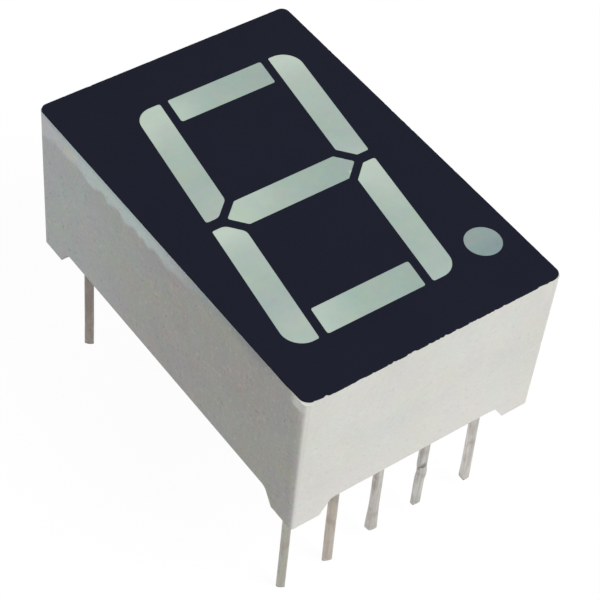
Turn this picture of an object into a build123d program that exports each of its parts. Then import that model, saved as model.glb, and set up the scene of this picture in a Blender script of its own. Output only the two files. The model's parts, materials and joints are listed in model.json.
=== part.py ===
"""A single-digit, ten-pin seven segment LED display, in millimetres.

The origin is the middle of the seating plane under the four feet. The face looks up, along +Z.
The digit stands upright along +Y, with the decimal point at its lower right. The pin grid sets
the size of the body, and the body sets the size of the digit.
"""

import os
from math import atan2, cos, degrees, radians, sin, sqrt, tan

from build123d import *

# Pins
pin_spacing = 2.54
pins_per_row = 5
row_spacing = 15.24
pin_diameter = 0.45
pin_reach = 7.15  # of the longest pins, below the feet
lower_row_trim = 0.6  # how much shorter the rest of the lower row is cut
upper_row_trim = 1.25  # how much shorter the upper row is cut
pin_tip_diameter = 0.31
pin_tip_length = 0.12

# Body: the open back is cut around the pin grid, and the walls stand around the open back
pin_side_gap = 0.65  # from the middle of an end pin to the wall beside it
pin_end_gap = 1.31  # from the middle of a row to the end wall
rim_wall = 0.45  # at the feet
wall_lean = 0.12  # how far each wall leans in from the face to the feet
body_height = 8.0  # from the feet to the front of the black face
corner_radius = 0.14  # at the feet
pocket_corner_radius = 0.3
foot_height = 0.8
foot_length = 1.4  # along each wall, at the seating plane
foot_flare = 0.5  # how much longer the foot is at its root
foot_root_radius = 0.4
overrun = 0.5  # how far a cut runs past what it cuts

# Black face
face_thickness = 0.08
face_corner_radius = 0.36

# Digit and decimal point
digit_side_margin = 2.225
digit_end_margin = 2.45
digit_shift = -0.1
digit_slant = 8  # degrees
stroke_width = 1.3
bar_width = 1.4
segment_gap = 0.38
stroke_end_gap = 0.5  # between an upper and a lower stroke, at their outer edge
outer_corner_share = 0.69  # a stroke's rounded outer corner, as a share of its width
point_diameter = 1.6
point_side_margin = 1.55  # from the right edge of the face to the middle of the point
point_end_margin = 3.1  # from the lower edge of the face to the middle of the point
well_inset = 0.26  # how far each wall of a light well comes in from the face to the board

# Board, copper, chips and wires
potting_recess = 0.15  # from the bottom edge of the walls up to the resin
potting_depth = 1.3
board_thickness = 1.0
board_clearance = 0.1
copper_thickness = 0.035
track_width = 0.3
pin_pad_size = 0.95
chip_size = 0.28
chip_height = 0.2
chip_pad_margin = 0.06
bond_pad_size = 0.3
pad_gap = 0.18
wire_thickness = 0.04
wire_rise = 0.14  # above the chip
wire_toe = 0.1  # above the pad

# Derived sizes
pin_radius = pin_diameter / 2
pin_row_length = (pins_per_row - 1) * pin_spacing
pocket_width = pin_row_length + 2 * pin_side_gap
pocket_length = row_spacing + 2 * pin_end_gap
foot_width = pocket_width + 2 * rim_wall
foot_depth = pocket_length + 2 * rim_wall
face_width = foot_width + 2 * wall_lean
face_length = foot_depth + 2 * wall_lean
housing_top = body_height - face_thickness
wall_draft = degrees(atan2(wall_lean, housing_top))

potting_level = foot_height + potting_recess
board_back = potting_level + potting_depth
board_top = board_back + board_thickness
shelf_level = board_top + copper_thickness  # the copper and the underside of the light wells meet here

digit_width = face_width - 2 * digit_side_margin
digit_height = face_length - 2 * digit_end_margin
mitre = bar_width / 2  # how far the strokes and the middle bar are cut back where they meet
outer_corner_radius = outer_corner_share * stroke_width
well_depth = body_height - shelf_level
well_draft = degrees(atan2(well_inset, well_depth))

chip_pad_size = chip_size + 2 * chip_pad_margin
pad_pitch = (chip_pad_size + bond_pad_size) / 2 + pad_gap

slant_run = tan(radians(digit_slant))
upright = (sin(radians(digit_slant)), cos(radians(digit_slant)))

# The pins that are left longest
long_pins = (1, 2)

# Which pin feeds which segment; the common net takes the two middle pins
common_pins = (3, 8)
pin_of_segment = {"a": 7, "b": 6, "c": 4, "d": 2, "e": 1, "f": 9, "g": 10, "dp": 5}


def pin_place(number):
    """Pins are numbered along the lower row from the left, then back along the upper row."""
    middle = (pins_per_row - 1) / 2
    if number <= pins_per_row:
        return ((number - 1 - middle) * pin_spacing, -row_spacing / 2)
    return ((2 * pins_per_row - number - middle) * pin_spacing, row_spacing / 2)


def reach_below_feet(number):
    """How far a pin comes down below the seating plane."""
    if number in long_pins:
        return pin_reach
    return pin_reach - (lower_row_trim if number <= pins_per_row else upper_row_trim)


def slanted(across, up):
    """A place on the face from its place on an upright digit."""
    return (digit_shift + across + up * slant_run, up)


def stroke_corners(side, level):
    """An upright segment, its outer corner first. Side 1 is right, and level 1 is upper."""
    outer = side * digit_width / 2
    inner = outer - side * stroke_width
    end = level * digit_height / 2
    middle = level * stroke_end_gap / 2
    return [
        slanted(outer, end),
        slanted(inner, end),
        slanted(inner, middle + level * mitre),
        slanted(inner + side * mitre, middle),
        slanted(outer, middle),
    ]


def bar_corners(level):
    """The top bar (level 1) or the bottom bar (level -1)."""
    reach = digit_width / 2 - stroke_width - segment_gap
    end = level * digit_height / 2
    inner = end - level * bar_width
    return [slanted(-reach, end), slanted(reach, end), slanted(reach, inner), slanted(-reach, inner)]


def middle_bar_corners():
    """The middle bar, pointed at both ends and a segment gap away from the cut ends of the strokes."""
    tip = digit_width / 2 - stroke_width + stroke_end_gap / 2 + mitre - segment_gap * sqrt(2)
    shoulder = tip - mitre
    half = bar_width / 2
    right = [slanted(shoulder, half), slanted(tip, 0), slanted(shoulder, -half)]
    left = [slanted(-shoulder, -half), slanted(-tip, 0), slanted(-shoulder, half)]
    return right + left


stroke_middle = (digit_width - stroke_width) / 2
stroke_level = (digit_height + stroke_end_gap) / 4
bar_level = (digit_height - bar_width) / 2

corners = {
    "a": bar_corners(1),
    "b": stroke_corners(1, 1),
    "c": stroke_corners(1, -1),
    "d": bar_corners(-1),
    "e": stroke_corners(-1, -1),
    "f": stroke_corners(-1, 1),
    "g": middle_bar_corners(),
}
strokes = ("b", "c", "e", "f")

# The middle of each light well, and the way from its chip to its bond pad
sites = {
    "a": (slanted(0, bar_level), (1, 0)),
    "b": (slanted(stroke_middle, stroke_level), upright),
    "c": (slanted(stroke_middle, -stroke_level), (-upright[0], -upright[1])),
    "d": (slanted(0, -bar_level), (-1, 0)),
    "e": (slanted(-stroke_middle, -stroke_level), (-upright[0], -upright[1])),
    "f": (slanted(-stroke_middle, stroke_level), upright),
    "g": (slanted(0, 0), (-1, 0)),
    "dp": ((face_width / 2 - point_side_margin, point_end_margin - face_length / 2), (0, -1)),
}


def beside(name, distance):
    """A place at a distance from the middle of a well, on the line from its chip to its bond pad."""
    (x, y), (along_x, along_y) = sites[name]
    return (x + distance * along_x, y + distance * along_y)


def site_plane(name, place):
    """The plane of the copper's top at a place, turned along the line from chip to bond pad."""
    along = sites[name][1]
    return Plane(origin=(*place, shelf_level), x_dir=(*along, 0), z_dir=(0, 0, 1))


def outline(name):
    """The outline of a segment or of the decimal point on the face."""
    with BuildSketch() as shape:
        if name == "dp":
            with Locations(sites[name][0]):
                Circle(point_diameter / 2)
        else:
            with BuildLine():
                Polyline(*corners[name], close=True)
            make_face()
            if name in strokes:
                outer_corner = shape.vertices().sort_by_distance((*corners[name][0], 0))[0]
                fillet(outer_corner, outer_corner_radius)
    return shape.sketch


def light_well(name):
    """The flared space between the board and the front of the face that a segment fills."""
    with BuildPart() as well:
        with BuildSketch(Plane.XY.offset(shelf_level)):
            add(outline(name))
            offset(amount=-well_inset, kind=Kind.INTERSECTION, mode=Mode.REPLACE)
        extrude(amount=well_depth, taper=-well_draft)
    return well.part


wells = {name: light_well(name) for name in sites}
numbers = range(1, 2 * pins_per_row + 1)
pin_places = [pin_place(number) for number in numbers]
os.makedirs("parts", exist_ok=True)

# Reflector housing: drafted walls on four corner feet, an open back, and the light wells
with BuildPart() as reflector_housing:
    with BuildSketch(Plane.XY):
        RectangleRounded(foot_width, foot_depth, corner_radius)
    extrude(amount=housing_top, taper=-wall_draft)
    with BuildSketch(Plane.XY):
        RectangleRounded(pocket_width, pocket_length, pocket_corner_radius)
    extrude(amount=shelf_level, mode=Mode.SUBTRACT)
    for plane, side, depth in ((Plane.XZ, foot_width, face_length), (Plane.YZ, foot_depth, face_width)):
        wide = side / 2 - foot_length
        narrow = wide - foot_flare
        with BuildSketch(plane) as relief:
            with BuildLine():
                Polyline(
                    (-wide, -overrun),
                    (-wide, 0),
                    (-narrow, foot_height),
                    (narrow, foot_height),
                    (wide, 0),
                    (wide, -overrun),
                    close=True,
                )
            make_face()
            fillet(relief.vertices().group_by(Axis.Y)[-1], foot_root_radius)
        extrude(amount=depth / 2 + overrun, both=True, mode=Mode.SUBTRACT)
    for well in wells.values():
        add(well, mode=Mode.SUBTRACT)
reflector_housing.part.label = "reflector_housing"
export_step(reflector_housing.part, "parts/reflector_housing.step")

# Black face: a thin layer over the whole front, open at each light well
with BuildPart() as black_face:
    with BuildSketch(Plane.XY.offset(housing_top)):
        RectangleRounded(face_width, face_length, face_corner_radius)
    extrude(amount=face_thickness)
    for well in wells.values():
        add(well, mode=Mode.SUBTRACT)
black_face.part.label = "black_face"
export_step(black_face.part, "parts/black_face.step")

# Chips, bond wires and the resin castings that bury them
for name, well in wells.items():
    with BuildPart() as led_chip:
        with BuildSketch(site_plane(name, beside(name, -pad_pitch / 2))):
            Rectangle(chip_size, chip_size)
        extrude(amount=chip_height)
    led_chip.part.label = f"led_chip_{name}"
    export_step(led_chip.part, f"parts/led_chip_{name}.step")

    (along_x, along_y) = sites[name][1]
    upright_plane = Plane(
        origin=(*sites[name][0], shelf_level),
        x_dir=(along_x, along_y, 0),
        z_dir=(along_y, -along_x, 0),
    )
    with BuildPart() as bond_wire:
        with BuildSketch(upright_plane):
            with BuildLine():
                Polyline(
                    (-pad_pitch / 2, chip_height),
                    (-pad_pitch / 2, chip_height + wire_rise),
                    (pad_pitch / 2, wire_toe),
                    (pad_pitch / 2, 0),
                )
            trace(line_width=wire_thickness)
        extrude(amount=wire_thickness / 2, both=True)
    bond_wire.part.label = f"bond_wire_{name}"
    export_step(bond_wire.part, f"parts/bond_wire_{name}.step")

    with BuildPart() as casting:
        add(well)
        add(led_chip.part, mode=Mode.SUBTRACT)
        add(bond_wire.part, mode=Mode.SUBTRACT)
    casting.part.label = "decimal_point" if name == "dp" else f"segment_{name}"
    export_step(casting.part, f"parts/{casting.part.label}.step")

# Circuit board, a clearance smaller than the open back, drilled for the pins
with BuildPart() as circuit_board:
    with BuildSketch(Plane.XY.offset(board_back)):
        Rectangle(pocket_width - 2 * board_clearance, pocket_length - 2 * board_clearance)
        with Locations(*pin_places):
            Circle(pin_radius, mode=Mode.SUBTRACT)
    extrude(amount=board_thickness)
circuit_board.part.label = "circuit_board"
export_step(circuit_board.part, "parts/circuit_board.step")

# Copper: a pad on the head of each pin, a track from there to each bond pad, and a tree that joins
# all the chip pads to the common pins
chip_places = {name: beside(name, -pad_pitch / 2) for name in sites}
bond_places = {name: beside(name, pad_pitch / 2) for name in sites}
spine = [pin_place(number) for number in common_pins]
with BuildPart() as copper_tracks:
    with BuildSketch(Plane.XY.offset(board_top)):
        with Locations(*pin_places):
            Rectangle(pin_pad_size, pin_pad_size)
        for name, number in pin_of_segment.items():
            start = pin_place(number)
            turn = [(start[0], bond_places[name][1])] if name == "g" else []
            with BuildLine():
                Polyline(start, *turn, bond_places[name])
            trace(line_width=track_width)
        branches = [
            spine,
            [chip_places["f"], chip_places["b"]],
            [chip_places["e"], (chip_places["dp"][0], chip_places["e"][1]), chip_places["dp"]],
            [chip_places["a"], (spine[1][0], chip_places["a"][1])],
            [chip_places["d"], (spine[0][0], chip_places["d"][1])],
        ]
        for branch in branches:
            with BuildLine():
                Polyline(*branch)
            trace(line_width=track_width)
        with Locations(*chip_places.values()):
            Rectangle(chip_pad_size, chip_pad_size)
        with Locations(*bond_places.values()):
            Rectangle(bond_pad_size, bond_pad_size)
    extrude(amount=copper_thickness)
copper_tracks.part.label = "copper_tracks"
export_step(copper_tracks.part, "parts/copper_tracks.step")

# Pins, turned from the top of the board down through the resin to a bevelled tip
for number, place in zip(numbers, pin_places):
    reach = reach_below_feet(number)
    with BuildPart() as pin:
        with BuildSketch(Plane(origin=(*place, 0), x_dir=(1, 0, 0), z_dir=(0, -1, 0))):
            with BuildLine():
                Polyline(
                    (0, -reach),
                    (pin_tip_diameter / 2, -reach),
                    (pin_radius, pin_tip_length - reach),
                    (pin_radius, board_top),
                    (0, board_top),
                    close=True,
                )
            make_face()
        revolve(axis=Axis((*place, 0), (0, 0, 1)))
    pin.part.label = f"pin_{number}"
    export_step(pin.part, f"parts/pin_{number}.step")

# Potting resin: fills the open back behind the board, round the pins
with BuildPart() as potting_resin:
    with BuildSketch(Plane.XY.offset(potting_level)):
        RectangleRounded(pocket_width, pocket_length, pocket_corner_radius)
        with Locations(*pin_places):
            Circle(pin_radius, mode=Mode.SUBTRACT)
    extrude(amount=potting_depth)
potting_resin.part.label = "potting_resin"
export_step(potting_resin.part, "parts/potting_resin.step")
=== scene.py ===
"""Looks of the seven segment display.

Finishes for its solids, finer pins, potting and black coat, and the floor, light and camera.
"""

import json
from math import degrees, radians, tan

import bmesh
import bpy
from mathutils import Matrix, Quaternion, Vector, noise


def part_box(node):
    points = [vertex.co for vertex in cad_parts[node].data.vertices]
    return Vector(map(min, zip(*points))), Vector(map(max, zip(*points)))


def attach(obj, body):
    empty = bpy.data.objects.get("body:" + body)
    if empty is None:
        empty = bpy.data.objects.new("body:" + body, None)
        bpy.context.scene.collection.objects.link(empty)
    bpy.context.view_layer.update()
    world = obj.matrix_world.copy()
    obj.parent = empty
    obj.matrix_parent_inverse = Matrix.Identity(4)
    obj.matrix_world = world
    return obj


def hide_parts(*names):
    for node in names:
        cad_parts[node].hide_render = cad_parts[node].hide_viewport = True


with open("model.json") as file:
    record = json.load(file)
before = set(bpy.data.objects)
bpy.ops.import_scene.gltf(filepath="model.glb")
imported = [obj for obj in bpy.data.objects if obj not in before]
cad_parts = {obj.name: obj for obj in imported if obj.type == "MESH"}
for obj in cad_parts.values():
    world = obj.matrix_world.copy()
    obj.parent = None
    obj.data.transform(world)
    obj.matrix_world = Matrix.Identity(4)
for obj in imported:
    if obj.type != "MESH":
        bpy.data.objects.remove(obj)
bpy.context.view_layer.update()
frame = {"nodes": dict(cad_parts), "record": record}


def colour(red, green, blue):
    return (red, green, blue, 1.0)


# Sizes, in millimetres unless a name says otherwise
MM = 0.001
TO_MM = 1 / MM
MERGE_DISTANCE = 0.001

CAMERA_PLACE = Vector((-38.837, -46.347, 67.629))
CAMERA_AIM = Vector((-3.366, -5.066, 8.0))
CAMERA_ROLL_DEGREES = 6.492
CAMERA_LENS = 125.326
CAMERA_SENSOR = 36.0
CAMERA_NEAR = 5.0
CAMERA_FAR = 2000.0

KEY_PLACE = Vector((70.0, -190.0, 230.0))
KEY_AIM = Vector((0.0, 0.0, 4.0))
KEY_SIZE = 160.0
KEY_WATTS = 0.755
AMBIENT_STRENGTH = 0.38

WHITE = colour(1.0, 1.0, 1.0)
FLOOR_SIZE = 900.0
FLOOR_TONE = colour(0.37, 0.37, 0.37)
FLOOR_SHADE_TONE = colour(0.05, 0.05, 0.05)
FLOOR_GLOW = 0.96

PINS_IN_ROW = 5
PIN_ROWS = 2
PIN_SIDES = 28
PIN_RINGS = 80
PIN_CLIP_LENGTH = 0.4
PIN_CLIP_THICKNESS_SHARE = 0.3
PIN_FLARE_LENGTH = 2.2
PIN_SWAY = 0.05
PIN_SWAY_SIZE = 3.0
PIN_BEND_DEPTH = 2.6
PIN_KINK_LEVEL = -4.1
PIN_KINK_REACH = 0.6
# The clipped end of each pin is pressed thin along the depth, which leaves a sloping edge
CLIP_EDGE = Vector((0.7584, -0.6517, 0.0))
CLIP_DEPTH = Vector((0.6517, 0.7584, 0.0))
# How the pins that the photo shows differ from a plain one. Drop is how much further down the tip
# is. Along x, Bend is a shift near the resin, Lean one that grows from there to the tip, and Kink
# one part of the way down. Girth is the share of the wire's width that the pin has, and Flare the
# share that its end gains. Vee is the slope of the clipped edge, and Apex the share across at which
# it is lowest
PIN_SHAPES = {
    "pin_1": {"Bend": 0.14, "Lean": 0.11, "Girth": 0.88, "Vee": 0.1, "Apex": -0.3},
    "pin_2": {"Bend": -0.04, "Lean": 0.24, "Vee": 0.45, "Apex": -0.75},
    "pin_3": {"Bend": -0.16, "Lean": 0.12, "Flare": 0.24, "Vee": 0.75, "Apex": -0.1},
    "pin_4": {"Bend": -0.17, "Lean": 0.07, "Kink": 0.06, "Flare": -0.05, "Vee": 0.9, "Apex": -0.35},
    "pin_5": {"Drop": 0.14, "Bend": -0.02, "Lean": 0.20, "Flare": 0.06, "Vee": 1.1, "Apex": 0.1},
    "pin_10": {"Drop": 0.08, "Bend": 0.09, "Lean": 0.03, "Girth": 0.96, "Vee": 0.05},
}
PLAIN_PIN = {
    "Drop": 0.0,
    "Bend": 0.0,
    "Lean": 0.0,
    "Kink": 0.0,
    "Girth": 1.0,
    "Flare": 0.0,
    "Vee": 0.2,
    "Apex": 0.0,
}
PIN_LENGTHS = ("Drop", "Bend", "Lean", "Kink")

COAT_RISE = 0.012
COAT_CORNER = 0.12
COAT_MITRE_CORNER = 0.45
COAT_CORNER_STEPS = 6
COAT_CORNER_EDGE_SHARE = 0.45
COAT_EDGE_STEP = 0.06
COAT_FRONT_WEAR = 0.08
COAT_CORNER_WEAR = 0.14
COAT_CORNER_WEAR_REACH = 1.3
COAT_SIDE_WEAR = 0.015
COAT_WEAR_SIZE = 0.5
COAT_CHIP_SIZE = 0.17
SHARP_TURN_DEGREES = 20.0
SQUARE_TURN_DEGREES = 65.0

POTTING_CELL = 0.15
POTTING_CORNER = 0.3
POTTING_SAG = 0.06
POTTING_WALL_CLIMB = 0.12
POTTING_WALL_REACH = 1.1
POTTING_PIN_CLIMB = 0.16
POTTING_PIN_REACH = 0.55
POTTING_WAVE = 0.03
POTTING_WAVE_SIZE = 2.2

BAR_HALF_LENGTH = 2.5

# Read from the frame: boxes and levels in metres, and what is multiplied by TO_MM in millimetres
BODY_LOW, BODY_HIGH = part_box("reflector_housing")
FACE_LOW, FACE_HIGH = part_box("black_face")
POTTING_LOW, POTTING_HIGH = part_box("potting_resin")
WALL_FRONT = BODY_LOW.y * TO_MM
WALL_TOP = BODY_HIGH.z * TO_MM

PIN_NAMES = sorted((name for name in frame["nodes"] if name.startswith("pin_")), key=len)
LONG_TIP_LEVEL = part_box("pin_1")[0].z
SHORT_TIP_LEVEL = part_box("pin_3")[0].z
UPPER_TIP_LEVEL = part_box("pin_10")[0].z
LAST_LONG_PIN_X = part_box("pin_2")[1].x * TO_MM
MARKED_LOW, MARKED_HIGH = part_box("pin_4")
MARKED_PIN_X, MARKED_PIN_Y = (MARKED_LOW + MARKED_HIGH).xy / 2 * TO_MM

BAR_LOW, BAR_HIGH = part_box("segment_a")
LOW_BAR_LOW, LOW_BAR_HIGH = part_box("segment_d")
POINT_LOW, POINT_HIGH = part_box("decimal_point")
POINT_X, POINT_Y = (POINT_LOW + POINT_HIGH).xy / 2 * TO_MM
DIGIT_MIDDLE = (BAR_LOW.x + BAR_HIGH.x + LOW_BAR_LOW.x + LOW_BAR_HIGH.x) / 4 * TO_MM
DIGIT_SLOPE = (BAR_LOW.x - LOW_BAR_LOW.x) / (BAR_LOW.y - LOW_BAR_LOW.y)
DIGIT_HALF_HEIGHT = BAR_HIGH.y * TO_MM

# Kinds of socket
VALUE = "NodeSocketFloat"
WHOLE = "NodeSocketInt"
VECTOR = "NodeSocketVector"
COLOUR = "NodeSocketColor"
MATERIAL = "NodeSocketMaterial"
GEOMETRY = "NodeSocketGeometry"

# A noise texture's middle value, as a number and a vector, and where most of its values lie
NOISE_MIDDLE = 0.5
NOISE_MIDDLES = (0.5, 0.5, 0.5)
NOISE_SPREAD = (0.3, 0.7)
CLOUD_HALF_SPREAD = 0.25


class Tree:
    """A node tree, with short calls for the nodes that this script uses."""

    def __init__(self, tree):
        self.tree = tree

    def fill(self, sockets, values):
        """Gives each socket a plain value, or a link from another node's output."""
        for key, value in values.items():
            if isinstance(value, bpy.types.NodeSocket):
                self.tree.links.new(value, sockets[key])
            else:
                sockets[key].default_value = value

    def node(self, kind, inputs=None, **settings):
        node = self.tree.nodes.new(kind)
        for name, value in settings.items():
            setattr(node, name, value)
        self.fill(node.inputs, inputs or {})
        return node

    def math(self, operation, first, second=0.0):
        return self.node("ShaderNodeMath", {0: first, 1: second}, operation=operation).outputs[0]

    def vector_math(self, operation, inputs):
        return self.node("ShaderNodeVectorMath", inputs, operation=operation).outputs

    def vector(self, operation, first, second=(0.0, 0.0, 0.0)):
        return self.vector_math(operation, {0: first, 1: second})[0]

    def scaled(self, vector, scale):
        return self.vector_math("SCALE", {0: vector, "Scale": scale})[0]

    def dot(self, first, second):
        return self.vector_math("DOT_PRODUCT", {0: first, 1: second})["Value"]

    def length(self, vector):
        return self.vector_math("LENGTH", {0: vector})["Value"]

    def split(self, vector):
        return self.node("ShaderNodeSeparateXYZ", {0: vector}).outputs

    def joined(self, x, y, z):
        return self.node("ShaderNodeCombineXYZ", {0: x, 1: y, 2: z}).outputs[0]

    def product(self, first, *others):
        for other in others:
            first = self.math("MULTIPLY", first, other)
        return first

    def rise(self, value, start, end, low=0.0, high=1.0):
        """Goes smoothly from low to high while the value goes from start to end."""
        inputs = {0: value, 1: start, 2: end, 3: low, 4: high}
        return self.node("ShaderNodeMapRange", inputs, interpolation_type="SMOOTHSTEP").outputs[0]

    def rise_straight(self, value, start, end):
        """Goes in a straight line from 0 to 1 while the value goes from start to end."""
        return self.node("ShaderNodeMapRange", {0: value, 1: start, 2: end}).outputs[0]

    def noise(self, place, size, detail=2.0, roughness=0.5):
        """A noise texture with patches of about this size."""
        scale = 1 / size if isinstance(size, float) else self.math("DIVIDE", 1.0, size)
        inputs = {"Vector": place, "Scale": scale, "Detail": detail, "Roughness": roughness}
        return self.node("ShaderNodeTexNoise", inputs).outputs

    def mix(self, mask, first, second):
        """The first colour where the mask is 0, and the second where it is 1."""
        inputs = {0: mask, 6: first, 7: second}
        return self.node("ShaderNodeMix", inputs, data_type="RGBA").outputs[2]

    def ramp(self, value, stops):
        """A colour that changes with the value, from pairs of a value from 0 to 1 and a colour."""
        node = self.node("ShaderNodeValToRGB", {0: value})
        elements = node.color_ramp.elements
        while len(elements) < len(stops):
            elements.new(0.5)
        for element, (spot, tone) in zip(elements, stops):
            element.position = spot
            element.color = tone
        return node.outputs[0]

    def bump(self, height, strength, depth):
        inputs = {"Height": height, "Strength": strength, "Distance": depth * MM}
        return self.node("ShaderNodeBump", inputs).outputs[0]


def new_group(kind, name, inputs, outputs):
    """A node group with named sockets: the group, its tree, what comes in and what goes out."""
    group = bpy.data.node_groups.new(name, kind)
    for way, sockets in (("INPUT", inputs), ("OUTPUT", outputs)):
        for label, socket_type in sockets.items():
            group.interface.new_socket(label, in_out=way, socket_type=socket_type)
    tree = Tree(group)
    entry = tree.node("NodeGroupInput").outputs
    leave = tree.node("NodeGroupOutput").inputs
    return group, tree, entry, leave


# Effects that the finishes share

def make_soft_cloud():
    """Soft patches of a given size, from 0 to 1."""
    inputs = {"Place": VECTOR, "Size": VALUE, "Sharpness": VALUE}
    outputs = {"Cloud": VALUE}
    group, tree, entry, leave = new_group("ShaderNodeTree", "soft_cloud", inputs, outputs)
    drift = tree.noise(entry["Place"], entry["Size"], detail=3.0)[0]
    half_spread = tree.math("DIVIDE", CLOUD_HALF_SPREAD, entry["Sharpness"])
    start = tree.math("SUBTRACT", NOISE_MIDDLE, half_spread)
    end = tree.math("ADD", NOISE_MIDDLE, half_spread)
    tree.fill(leave, {"Cloud": tree.rise(drift, start, end)})
    return group


def make_tint_speckle():
    """Specks lighter and darker than a colour, which with tint lean to pink, green and violet."""
    inputs = {"Place": VECTOR, "Base": COLOUR, "Size": VALUE, "Strength": VALUE, "Tint": VALUE}
    outputs = {"Color": COLOUR}
    group, tree, entry, leave = new_group("ShaderNodeTree", "tint_speckle", inputs, outputs)
    grey, tinted = tree.noise(entry["Place"], entry["Size"], detail=1.5, roughness=0.6)
    offset = tree.vector("SUBTRACT", tree.mix(entry["Tint"], grey, tinted), NOISE_MIDDLES)
    shift = tree.scaled(offset, entry["Strength"])
    tree.fill(leave, {"Color": tree.vector("ADD", entry["Base"], shift)})
    return group


def make_skin_grain():
    """The fine grain of a mould or a cast: a height, and a roughness that goes with it."""
    inputs = {"Place": VECTOR, "Size": VALUE, "Smoothest": VALUE, "Roughest": VALUE}
    outputs = {"Height": VALUE, "Roughness": VALUE}
    group, tree, entry, leave = new_group("ShaderNodeTree", "skin_grain", inputs, outputs)
    grain = tree.noise(entry["Place"], entry["Size"], detail=3.0, roughness=0.55)[0]
    roughness = tree.rise(grain, *NOISE_SPREAD, entry["Smoothest"], entry["Roughest"])
    tree.fill(leave, {"Height": grain, "Roughness": roughness})
    return group


SOFT_CLOUD = make_soft_cloud()
TINT_SPECKLE = make_tint_speckle()
SKIN_GRAIN = make_skin_grain()


class Finish(Tree):
    """A material with one Principled shader, and places on the piece in millimetres."""

    def __init__(self, name):
        self.material = bpy.data.materials.new(name)
        self.material.use_nodes = True
        super().__init__(self.material.node_tree)
        self.tree.nodes.clear()
        self.shader = self.node("ShaderNodeBsdfPrincipled")
        self.node("ShaderNodeOutputMaterial", {"Surface": self.shader.outputs[0]})
        whole = self.node("ShaderNodeTexCoord").outputs
        in_mm = {"Vector": whole["Object"], "Scale": (TO_MM, TO_MM, TO_MM)}
        self.place = self.node("ShaderNodeMapping", in_mm).outputs[0]
        self.facing = whole["Normal"]

    def stretched(self, x, y, z):
        """The place, with each axis scaled, for patterns that run along one way."""
        return self.vector("MULTIPLY", self.place, (x, y, z))

    def group(self, group, inputs):
        return self.node("ShaderNodeGroup", inputs, node_tree=group).outputs

    def drift(self, size, detail=2.0, place=None):
        """Values around the middle of the noise, in patches of about this size."""
        return self.noise(place or self.place, size, detail)[0]

    def cloud(self, size, sharpness=1.0, place=None):
        values = {"Size": size, "Sharpness": sharpness}
        return self.group(SOFT_CLOUD, {"Place": place or self.place, **values})[0]

    def speckle(self, base, size, strength, tint=1.0):
        values = {"Base": base, "Size": size, "Strength": strength, "Tint": tint}
        return self.group(TINT_SPECKLE, {"Place": self.place, **values})[0]

    def set(self, **values):
        """Fills the shader's sockets: Base_Color sets Base Color."""
        named = {name.replace("_", " "): value for name, value in values.items()}
        self.fill(self.shader.inputs, named)

    def skin(self, grain, bump=None, place=None):
        """Sets the roughness by a grain, from its size and the least and the most roughness.

        A bump, from its strength and depth, sets the relief by the same grain.
        """
        size, smoothest, roughest = grain
        values = {"Size": size, "Smoothest": smoothest, "Roughest": roughest}
        skin = self.group(SKIN_GRAIN, {"Place": place or self.place, **values})
        self.set(Roughness=skin["Roughness"])
        if bump:
            self.set(Normal=self.bump(skin["Height"], *bump))


# Finishes. A grain is its size and its least and most roughness, a bump its strength and depth,
# specks their size and strength, and a cloud its size and, as a second number, its sharpness.
# Levels are the values of a noise between which a pattern sets in

# The white moulding. Pairs for along are places on y, and pairs for below are depths under the
# face: a change starts at the first and is whole at the second

LEFT_FACING = (-0.6, -0.95)

MOULDING_TONES = (colour(0.73, 0.73, 0.682), colour(0.77, 0.77, 0.721))
MOULDING_CLOUD = 3.5
MOULDING_GRAIN = (0.12, 0.42, 0.58)
MOULDING_BUMP = (0.25, 0.012)
MOULDING_SPECULAR = 0.25
MOULDING_GLOSS_ROUGHNESS = 0.2
FEET_TONE = colour(0.82, 0.80, 0.755)
FEET_BELOW = (3.5, 7.5)
FEET_STRENGTH = 0.6

# Painted shade: a darker, warmer tone over the whole left wall, which faces away from the key light
LEFT_WALL_SHADE_TONE = colour(0.715, 0.71, 0.66)
LEFT_WALL_SHADE = {"strength": 0.7}
# Painted light: the left wall grows lighter and cooler toward its back
FAR_WALL_LIGHT_TONE = colour(0.835, 0.885, 0.865)
FAR_WALL_LIGHT = {"along": [(-2.0, -WALL_FRONT - 0.6)]}
# Painted highlight: the left wall grows lighter and warmer toward its rounded front edge
NEAR_EDGE_HIGHLIGHT_TONE = colour(0.80, 0.785, 0.70)
NEAR_EDGE_HIGHLIGHT = {"along": [(WALL_FRONT + 1.7, WALL_FRONT + 0.5)], "strength": 0.4}

# The pale band stands for the edge of the face; its tones are painted light, pale and cyan enough
# on the shaded wall to look lit from above, with a darker cyan rim just under the face
BAND_LIT_TONES = (colour(0.78, 0.95, 0.92), colour(0.88, 0.91, 0.92))
BAND_LIT_TONES_ALONG = (6.6, 8.4)
BAND_ALONG = (-4.0, 2.0)
BAND_DEPTHS = (0.3, 0.85)
BAND_DEPTHS_ALONG = (-3.4, 0.8)
BAND_END_DEPTH = 0.25
BAND_END_ALONG = (7.2, 8.0)
BAND_WAVE_STRETCH = (0.0, 0.8, 0.3)
BAND_WAVE = (0.75, 1.25)
BAND_EDGE = (-0.2, 0.12)
BAND_GLOSS = (0.75, 0.5)
BAND_GLOSS_ALONG = (6.5, 8.0)
BRIM_TONE = colour(0.5, 0.72, 0.72)
BRIM_BELOW = (0.32, 0.12)
BRIM_STRENGTH = 0.5
WARM_SPOT_TONE = colour(0.95, 0.87, 0.70)
WARM_SPOT = {
    "along": [(6.2, 7.0), (7.9, 7.2)],
    "below": [(1.1, 0.6), (0.25, 0.5)],
    "strength": 0.7,
}
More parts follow.
